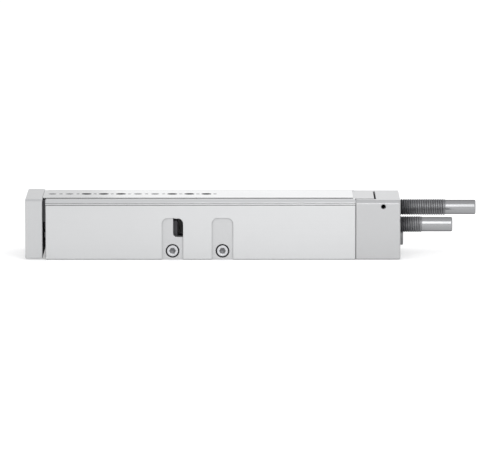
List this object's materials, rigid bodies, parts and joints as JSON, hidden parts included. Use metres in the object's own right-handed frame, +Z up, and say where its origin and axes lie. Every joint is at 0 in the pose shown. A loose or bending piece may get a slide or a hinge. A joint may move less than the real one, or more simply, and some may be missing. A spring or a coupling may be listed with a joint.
{
  "type": "pneumatic slide table",
  "caption": "Pneumatic slide table: an aluminium housing with a ball-guided steel slide, a yoke plate, an inner cylinder and shock absorbers at the rear.",
  "frame": {"origin": "Centre of the outer pattern of mounting holes, on the mounting face under the housing.", "axes": "+X runs along the stroke towards the rear block and the absorbers, so the slide moves out along -X. +Z is up, away from the mounting face. +Y is the side with the sensor slots and the air ports."},
  "size_m": [0.3938, 0.07, 0.0531],
  "materials": {
    "anodised_housing": "natural anodised, satin, fine brushing along the length",
    "anodised_block": "natural anodised, satin",
    "ground_steel": "ground bright",
    "rail_steel": "hardened and ground",
    "stop_steel": "hardened, plain",
    "zinc_steel": "zinc plated",
    "screw_steel": "stainless",
    "absorber_steel": "plated, polished smooth end",
    "hard_chrome": "hard chromed, polished",
    "bearing_bronze": "machined bronze",
    "cage_brass": "machined brass",
    "ball_steel": "polished bearing steel",
    "black_rubber": "moulded nitrile rubber",
    "buffer_plastic": "moulded polyurethane",
    "ring_plastic": "filled PTFE",
    "magnet_black": "sintered magnet",
    "plug_aluminium": "machined"
  },
  "bodies": {
    "base": {"housing": "anodised_housing", "near_rail": "rail_steel", "far_rail": "rail_steel", "rail_stops": "stop_steel", "stop_block": "stop_steel", "stop_screws": "screw_steel", "rear_block": "anodised_block", "rear_block_screws": "screw_steel", "end_plug": "plug_aluminium", "end_plug_seal": "black_rubber", "channel_plug": "stop_steel", "channel_seal": "black_rubber", "rod_bearing": "bearing_bronze", "rod_seal": "black_rubber", "rod_wiper": "black_rubber", "bearing_circlip": "stop_steel", "guide_wipers": "black_rubber", "wiper_screws": "screw_steel", "upper_absorber": "absorber_steel", "absorber_lock_screw": "stop_steel"},
    "slide_unit": {"slide": "ground_steel", "yoke_plate": "anodised_block", "yoke_screws": "screw_steel", "rod_screw": "screw_steel", "end_bracket": "anodised_block", "bracket_screws": "screw_steel", "piston_rod": "hard_chrome", "piston": "plug_aluminium", "piston_seals": "black_rubber", "piston_ring": "ring_plastic", "piston_magnet": "magnet_black", "piston_nut": "zinc_steel", "lower_absorber": "absorber_steel"},
    "upper_plunger_unit": {"upper_plunger": "hard_chrome", "upper_buffer": "buffer_plastic"},
    "lower_plunger_unit": {"lower_plunger": "hard_chrome", "lower_buffer": "buffer_plastic"},
    "near_cage_unit": {"near_cage": "cage_brass", "near_balls": "ball_steel"},
    "far_cage_unit": {"far_cage": "cage_brass", "far_balls": "ball_steel"}
  },
  "joints": [
    {"name": "slide_travel", "type": "slide", "parent": "base", "child": "slide_unit", "axis": [-1, 0, 0], "range_m": [0, 0.15]},
    {"name": "near_cage_travel", "type": "slide", "parent": "base", "child": "near_cage_unit", "axis": [-1, 0, 0], "range_m": [0, 0.075]},
    {"name": "far_cage_travel", "type": "slide", "parent": "base", "child": "far_cage_unit", "axis": [-1, 0, 0], "range_m": [0, 0.075]},
    {"name": "upper_plunger_travel", "type": "slide", "parent": "base", "child": "upper_plunger_unit", "axis": [-1, 0, 0], "range_m": [0, 0.012]},
    {"name": "lower_plunger_travel", "type": "slide", "parent": "slide_unit", "child": "lower_plunger_unit", "axis": [1, 0, 0], "range_m": [0, 0.012]}
  ],
  "couplings": [
    {"joint": "near_cage_travel", "follows": "slide_travel", "ratio": 0.5},
    {"joint": "far_cage_travel", "follows": "slide_travel", "ratio": 0.5},
    {"joint": "upper_plunger_travel", "follows": "slide_travel", "ratio": 0.08},
    {"joint": "lower_plunger_travel", "follows": "slide_travel", "ratio": 0.08}
  ]
}
